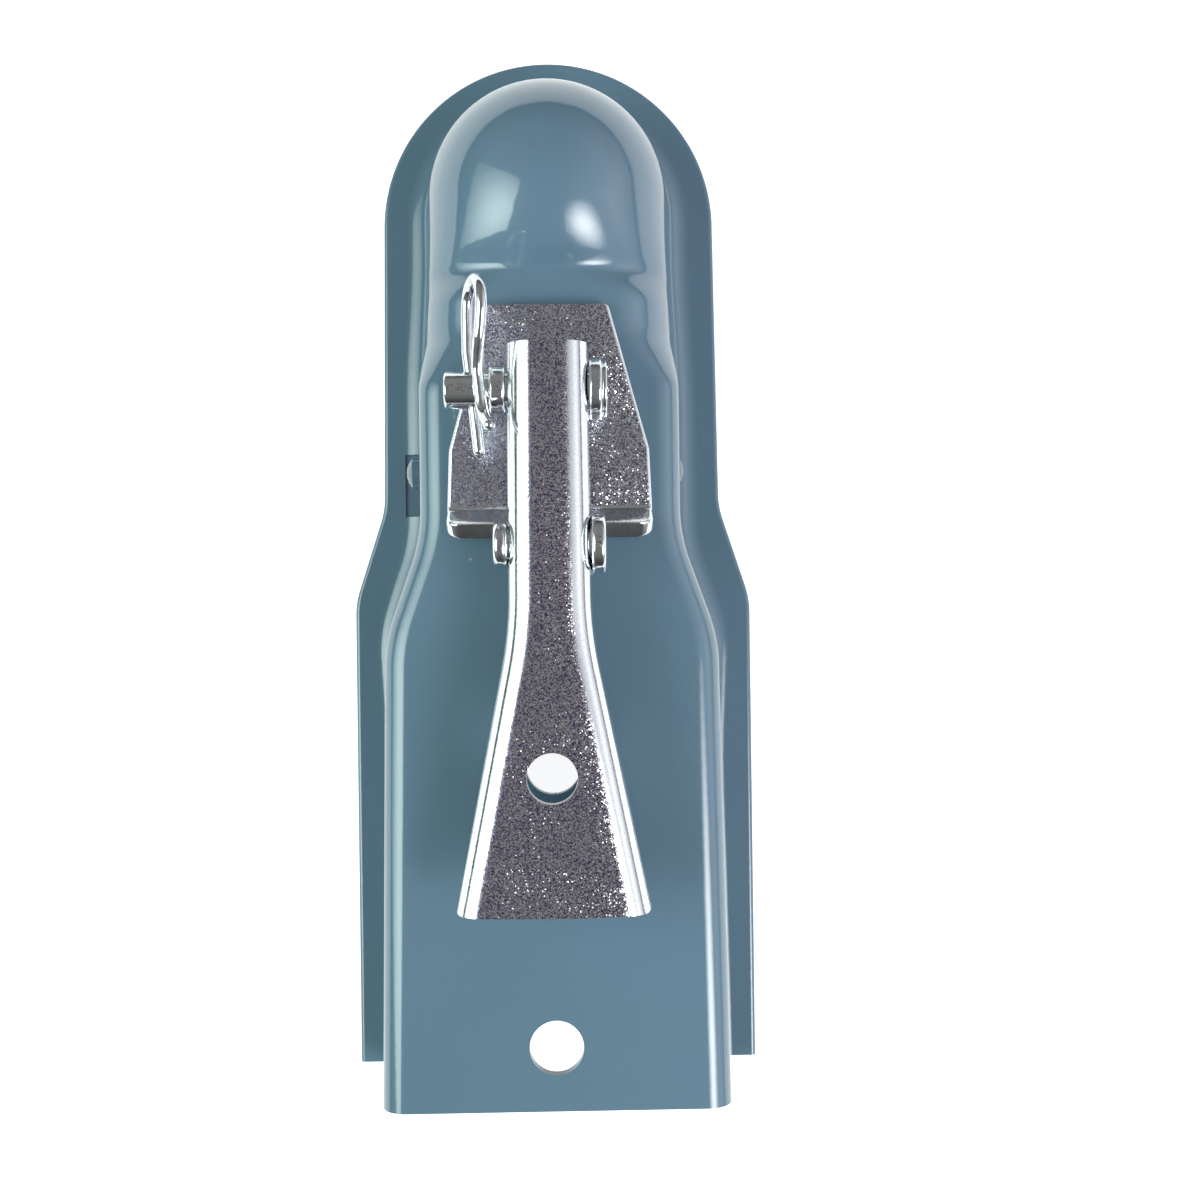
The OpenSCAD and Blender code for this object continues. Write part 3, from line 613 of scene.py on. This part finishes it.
wall_x = lever_half(RIVET_Y) + 0.1
rivet_x = lever_half(RIVET_Y - RIVET_HEAD_R) + LEVER_SPLAY + FACE_GAP + RIVET_HEAD_T
rivet = turned("lever_cross_rivet", RIVET_Y, RIVET_Z,
               [(0, -rivet_x)] + rounded(RIVET_TAIL_R, -rivet_x, -wall_x, 1.2)
               + [(RIVET_R, -wall_x), (RIVET_R, wall_x)]
               + rounded(RIVET_HEAD_R, wall_x, rivet_x, 0.9) + [(0, rivet_x)])
pin_zinc = zinc_plating("turned_zinc", [(0.44, 0.43, 0.48), (0.74, 0.75, 0.77), (0.92, 0.93, 0.94)],
                        0.08, 0.45)
rivet.data.materials.append(pin_zinc)
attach(rivet, "lever")
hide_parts("lever_rivet")

# Pivot pin: turned from steel bar and zinc plated, with a flanged head on the right and a long tail
# on the left, pushed through the lever and the draw bolt's eye; a cross hole takes the clip.
PIN_R, PIN_TAIL, TAIL_BEVEL = 4.25, 14, 0.5
PIN_HEAD_R, PIN_HEAD_T, PIN_CROWN_R, PIN_CROWN_T = 7.2, 2.7, 6.6, 3.8
HEAD_SEAT = 0.25
WASHER_T, WASHER_R = 3.7, 5.6
CLIP_ANGLE, CLIP_HOLE_R = math.radians(6), 1.6
pin_x = lever_half(PIN_Y - PIN_HEAD_R) + LEVER_SPLAY + FACE_GAP
clip_x = pin_x + WASHER_T + 4.0
tail_x = -pin_x - PIN_TAIL
pin = turned("pivot_pin_zinc", PIN_Y, PIN_Z,
             [(0, tail_x), (3.7, tail_x), (4.05, tail_x + 0.15), (PIN_R, tail_x + TAIL_BEVEL),
              (PIN_R, tail_x + TAIL_BEVEL + 0.2), (PIN_R, pin_x - 2 * HEAD_SEAT),
              (PIN_R, pin_x - HEAD_SEAT)]
             + rounded(PIN_HEAD_R, pin_x - HEAD_SEAT, pin_x + PIN_HEAD_T, 0.7)
             + rounded(PIN_CROWN_R, pin_x + PIN_HEAD_T, pin_x + PIN_CROWN_T, 0.4)
             + [(0, pin_x + PIN_CROWN_T)])
drill = prism(disc(CLIP_HOLE_R), -20, 20)
drill.data.transform(Matrix.Translation((-clip_x * MM, PIN_Y * MM, PIN_Z * MM))
                     @ Matrix.Rotation(CLIP_ANGLE, 4, "Z")
                     @ Matrix.Rotation(math.radians(-90), 4, "X"))
cut(pin, drill)
crisp(pin, 40)
pin.data.materials.append(pin_zinc)
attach(pin, "stem")
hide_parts("pivot_pin")

# Washer on the pin's tail: a thick pressed steel ring, zinc plated, slipped over the tail between
# the lever's wall and the clip.
washer = turned("pin_tail_washer", PIN_Y, PIN_Z,
                [(PIN_BORE_R, -pin_x - WASHER_T)]
                + rounded(WASHER_R, -pin_x - WASHER_T, -pin_x, 0.8) + [(PIN_BORE_R, -pin_x)])
cut(washer, prism(disc(PIN_BORE_R, PIN_Y, PIN_Z), -30, 0, axis="X"))
crisp(washer, 40)
washer.data.materials.append(pin_zinc)
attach(washer, "stem")
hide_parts("pin_washer")

# Hairpin clip: one bright spring wire bent back on itself in a round head, with a straight leg
# through the pin and a wavy leg that snaps over it; it leans towards the lever.
WIRE_R, CLIP_LEAN, SNAP_GAP = 1.4, math.radians(18), 0.17
HEAD_U, HEAD_R, LEG_U = 17.4, 6.5, -14.0
over = (PIN_R + WIRE_R + SNAP_GAP) / math.cos(CLIP_LEAN)
route = [(LEG_U, 0.0), (LEG_U / 2, 0.0), (0.0, 0.0), (HEAD_U / 2, 0.0)]
for i in range(39):
    turn = math.radians(-90 + 5 * i)
    route.append((HEAD_U + HEAD_R * math.cos(turn), HEAD_R * (1 + math.sin(turn))))
wavy = [(13.2, 12.0), (10.2, 10.6), (7.6, 8.8), (5.2, over + 1.2), (3.2, over + 0.35),
        (1.4, over + 0.03), (0.0, over), (-2.0, over), (-4.0, over + 0.1), (-5.8, over + 0.75),
        (-7.4, over + 2.0), (-8.8, over + 3.7), (-9.6, over + 5.0)]


def through(knots, per=8):
    """Points on a smooth curve through the knots."""
    out = []
    for i in range(len(knots) - 1):
        p = [Vector(knots[max(0, min(len(knots) - 1, k))]) for k in (i - 1, i, i + 1, i + 2)]
        for s in range(per):
            t = s / per
            out.append(0.5 * (2 * p[1] + (p[2] - p[0]) * t
                              + (2 * p[0] - 5 * p[1] + 4 * p[2] - p[3]) * t * t
                              + (3 * p[1] - p[0] - 3 * p[2] + p[3]) * t ** 3))
    return out + [Vector(knots[-1])]


def drifted(u, v):
    """A point of the clip's plane, with the head bent to lie along the coupler."""
    return Vector((u, max(0.0, u - HEAD_U / 2) * math.tan(CLIP_ANGLE), v))


def wire_piece(name, line, r, sides=16, ball=0.9):
    """A round wire along the line, with rounded ends."""
    turns = [math.tau * k / sides for k in range(sides)]
    end_turns = (0.15, 0.5, 0.9, 1.25)
    rings = []
    side = Vector((1.0, 0.0, 0.0))
    for i, p in enumerate(line):
        way = (line[min(i + 1, len(line) - 1)] - line[max(i - 1, 0)]).normalized()
        side = (side - way * side.dot(way)).normalized()
        up = way.cross(side)
        sizes = [(0.0, 1.0)]
        if i == 0:
            sizes = [(-ball * r * math.cos(a), math.sin(a)) for a in end_turns] + sizes
        if i == len(line) - 1:
            sizes += [(ball * r * math.cos(a), math.sin(a)) for a in reversed(end_turns)]
        for ahead, size in sizes:
            rings.append([tuple(p + way * ahead
                                + r * size * (side * math.cos(a) + up * math.sin(a)))
                          for a in turns])
    return loft(name, rings)


def worked_metal(name, shade_noise, shades, gloss_noise, roughness, relief_noise, relief):
    """Bare metal with fine changes of shade, gloss and height."""
    material, metal = finish(name)
    metal.inputs["Metallic"].default_value = 1.0
    links.new(ramp(noise(*shade_noise), list(zip((0.3, 0.7), shades))), metal.inputs["Base Color"])
    links.new(ramp(noise(*gloss_noise), [(0.3, grey(roughness[0])), (0.7, grey(roughness[1]))]),
              metal.inputs["Roughness"])
    links.new(bump(noise(*relief_noise), *relief), metal.inputs["Normal"])
    return material


flat_line = [drifted(*p) for p in route]
flat_line += through([drifted(*p) for p in [route[-1]] + wavy])[1:]
lean = Matrix.Rotation(-CLIP_LEAN, 4, "X")
seat = (Matrix.Translation((-clip_x, PIN_Y, PIN_Z))
        @ Matrix.Rotation(math.radians(90) + CLIP_ANGLE, 4, "Z"))
line = []
for p in flat_line:
    p = lean @ p
    line.append(seat @ Vector((p.x, -p.y, p.z)))
clip = wire_piece("hairpin_clip_wire", line, WIRE_R)
bright = worked_metal("bright_wire", (500.0, 3.0), ((0.70, 0.72, 0.75), (0.88, 0.89, 0.91)),
                      (300.0, 2.0), (0.05, 0.10), (900.0, 2.0), (0.12, 0.0002))
clip.data.materials.append(bright)
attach(clip, "clip")
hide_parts("hairpin_clip")

# Draw bolt, spring, washers, nut and clamp: the hidden works that pull the ball tight; the clamp is
# forged and enamelled with the shell, the rest is dull zinc plate and oiled spring steel.
dull = worked_metal("dull_zinc", (350.0, 3.0, 0.6), ((0.36, 0.37, 0.40), (0.58, 0.58, 0.62)),
                    (90.0, 3.0), (0.32, 0.5), (600.0, 2.0), (0.2, 0.0003))
steel = worked_metal("oiled_spring_steel", (260.0, 3.0, 0.6),
                     ((0.10, 0.10, 0.11), (0.22, 0.21, 0.21)),
                     (120.0, 3.0), (0.25, 0.42), (700.0, 2.0), (0.2, 0.0002))
for name, coating in (("draw_bolt", dull), ("spring_washer", dull), ("nut_washer", dull),
                      ("lock_nut", dull), ("clamp_spring", steel), ("ball_clamp", enamel)):
    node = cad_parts[name]
    node.data.materials.clear()
    node.data.materials.append(coating)

# Table: a wide matt white top that the coupler stands on and throws its soft shadow on. It glows
# only to the camera and in reflections, so it shows white and casts no light itself.
TABLE_HALF, TABLE_DROP = 1500, 0.0002
CAMERA_GLOW, MIRROR_GLOW = 0.9, 0.45
table = mesh_piece("table_top", [(-TABLE_HALF, -TABLE_HALF, 0), (TABLE_HALF, -TABLE_HALF, 0),
                                 (TABLE_HALF, TABLE_HALF, 0), (-TABLE_HALF, TABLE_HALF, 0)],
                   [(0, 1, 2, 3)])
table.location.z = -TABLE_DROP
table_white, cloth = finish("table_white")
cloth.inputs["Base Color"].default_value = (0.88, 0.88, 0.88, 1.0)
cloth.inputs["Roughness"].default_value = 0.9
cloth.inputs["Specular IOR Level"].default_value = 0.1
glow = nodes.new("ShaderNodeEmission")
glow.inputs["Color"].default_value = (1.0, 1.0, 1.0, 1.0)
rays = nodes.new("ShaderNodeLightPath")
seen_white = number("MULTIPLY", rays.outputs["Is Camera Ray"], CAMERA_GLOW)
links.new(number("MULTIPLY_ADD", rays.outputs["Is Glossy Ray"], MIRROR_GLOW, seen_white),
          glow.inputs["Strength"])
both = nodes.new("ShaderNodeAddShader")
links.new(cloth.outputs[0], both.inputs[0])
links.new(glow.outputs[0], both.inputs[1])
links.new(both.outputs[0], nodes["Material Output"].inputs["Surface"])
table.data.materials.append(table_white)

# Room: a cloth tent round the table, dim overhead and at the back, bluish white on the right, a
# dimmer green-grey on the left and dark along its foot. The camera sees it plain white.
LOW_Z, ALONG = 0.05, 0.9
SEEN_WHITE = (0.95, 0.95, 0.95, 1.0)
LEFT_TINT, MIDDLE_TINT, RIGHT_TINT = (0.17, 0.25, 0.23), (0.70, 0.74, 0.76), (1.30, 1.32, 1.42)
room = bpy.data.worlds.new("room")
bpy.context.scene.world = room
room.use_nodes = True
nodes, links = room.node_tree.nodes, room.node_tree.links
sky = nodes["Background"]
split = nodes.new("ShaderNodeSeparateXYZ")
links.new(place("Generated"), split.inputs[0])
to_x, to_y, to_z = split.outputs
height = number("MAXIMUM", to_z, LOW_Z)
along = number("MULTIPLY", number("ABSOLUTE", to_y), ALONG)
aside = number("DIVIDE", number("ABSOLUTE", to_x), number("ADD", height, along))
behind = number("DIVIDE", number("MULTIPLY", to_y, -1.0), height)
side_wall = ramp(number("MULTIPLY", aside, 0.25),
                 [(0.05, grey(0.0)), (0.16, grey(0.4)), (0.45, grey(1.0))])
rear_wall = ramp(number("MULTIPLY", behind, 0.25), [(0.0, grey(0.20)), (0.50, grey(0.08))])
side_tint = ramp(number("ADD", number("MULTIPLY", to_x, 0.5), 0.5),
                 [(0.0, LEFT_TINT), (0.5, MIDDLE_TINT), (1.0, RIGHT_TINT)])
skirting = ramp(number("ABSOLUTE", to_z),
                [(0.035, grey(0.10)), (0.06, grey(0.4)), (0.45, grey(1.0))])
walls = tinted(1.0, tinted(side_wall, rear_wall, side_tint), skirting, "MULTIPLY")
rays = nodes.new("ShaderNodeLightPath")
links.new(tinted(rays.outputs["Is Camera Ray"], walls, SEEN_WHITE), sky.inputs["Color"])
sky.inputs["Strength"].default_value = 1.0

# Lamps: two soft panels of cloth, each lit from behind by one bulb, so they are brightest at one
# spot and fall off from there. The greenish one stands on the left, the bluish one on the right.
HOT_LEVEL = 3.0


def panel(name, corners, power, colour, hot, reach, edge):
    """A panel over three of its corners; hot is the bulb's place in shares of its two sides."""
    first, across, up = (Vector(c) * MM for c in corners)
    u, v = across - first, up - first
    lamp = bpy.data.lights.new(name, "AREA")
    lamp.shape, lamp.size, lamp.size_y = "RECTANGLE", u.length, v.length
    lamp.energy, lamp.color = power, colour
    lamp.use_nodes = True
    tree = lamp.node_tree
    where = tree.nodes.new("ShaderNodeNewGeometry")
    away = tree.nodes.new("ShaderNodeVectorMath")
    away.operation = "DISTANCE"
    away.inputs[1].default_value = (*hot, 0.0)
    tree.links.new(where.outputs["Parametric"], away.inputs[0])
    fall = tree.nodes.new("ShaderNodeMapRange")
    fall.interpolation_type = "SMOOTHSTEP"
    for socket, level in (("From Min", 0.0), ("From Max", reach),
                          ("To Min", HOT_LEVEL), ("To Max", edge)):
        fall.inputs[socket].default_value = level
    tree.links.new(away.outputs["Value"], fall.inputs["Value"])
    tree.links.new(fall.outputs["Result"], tree.nodes["Emission"].inputs["Strength"])
    holder = bpy.data.objects.new(name, lamp)
    holder.visible_camera = False
    x, z = u.normalized(), u.cross(v).normalized()
    facing = Matrix((x, z.cross(x), z)).transposed().to_4x4()
    holder.matrix_world = Matrix.Translation(first + (u + v) / 2) @ facing
    bpy.context.scene.collection.objects.link(holder)


GREENISH, BLUISH = (0.86, 1.0, 0.94), (0.96, 0.98, 1.0)
panel("left_panel", ((-1404, -250, 186), (-762, -662, 1052), (-1200, 716, 494)), 6.2, GREENISH,
      hot=(0.72, 0.35), reach=0.85, edge=0.4)
panel("right_panel", ((244, -682, 656), (708, -526, 432), (224, -136, 998)), 3.4, BLUISH,
      hot=(0.5, 0.5), reach=0.62, edge=0.0)

# Camera: above the coupler and a touch turned, at the place and with the lens that were worked out
# from where points of the coupler lie in the photograph.
camera_data = bpy.data.cameras.new("photo_camera")
camera_data.lens = 46.266
camera_data.sensor_width = 36.0
camera_data.clip_start = 0.01
camera = bpy.data.objects.new("photo_camera", camera_data)
camera.location = (0.004477, -0.010479, 0.413989)
camera.rotation_euler = (0.0, -0.0185, -0.0128)
bpy.context.scene.collection.objects.link(camera)
bpy.context.scene.camera = camera
bpy.context.scene.view_settings.view_transform = "Standard"
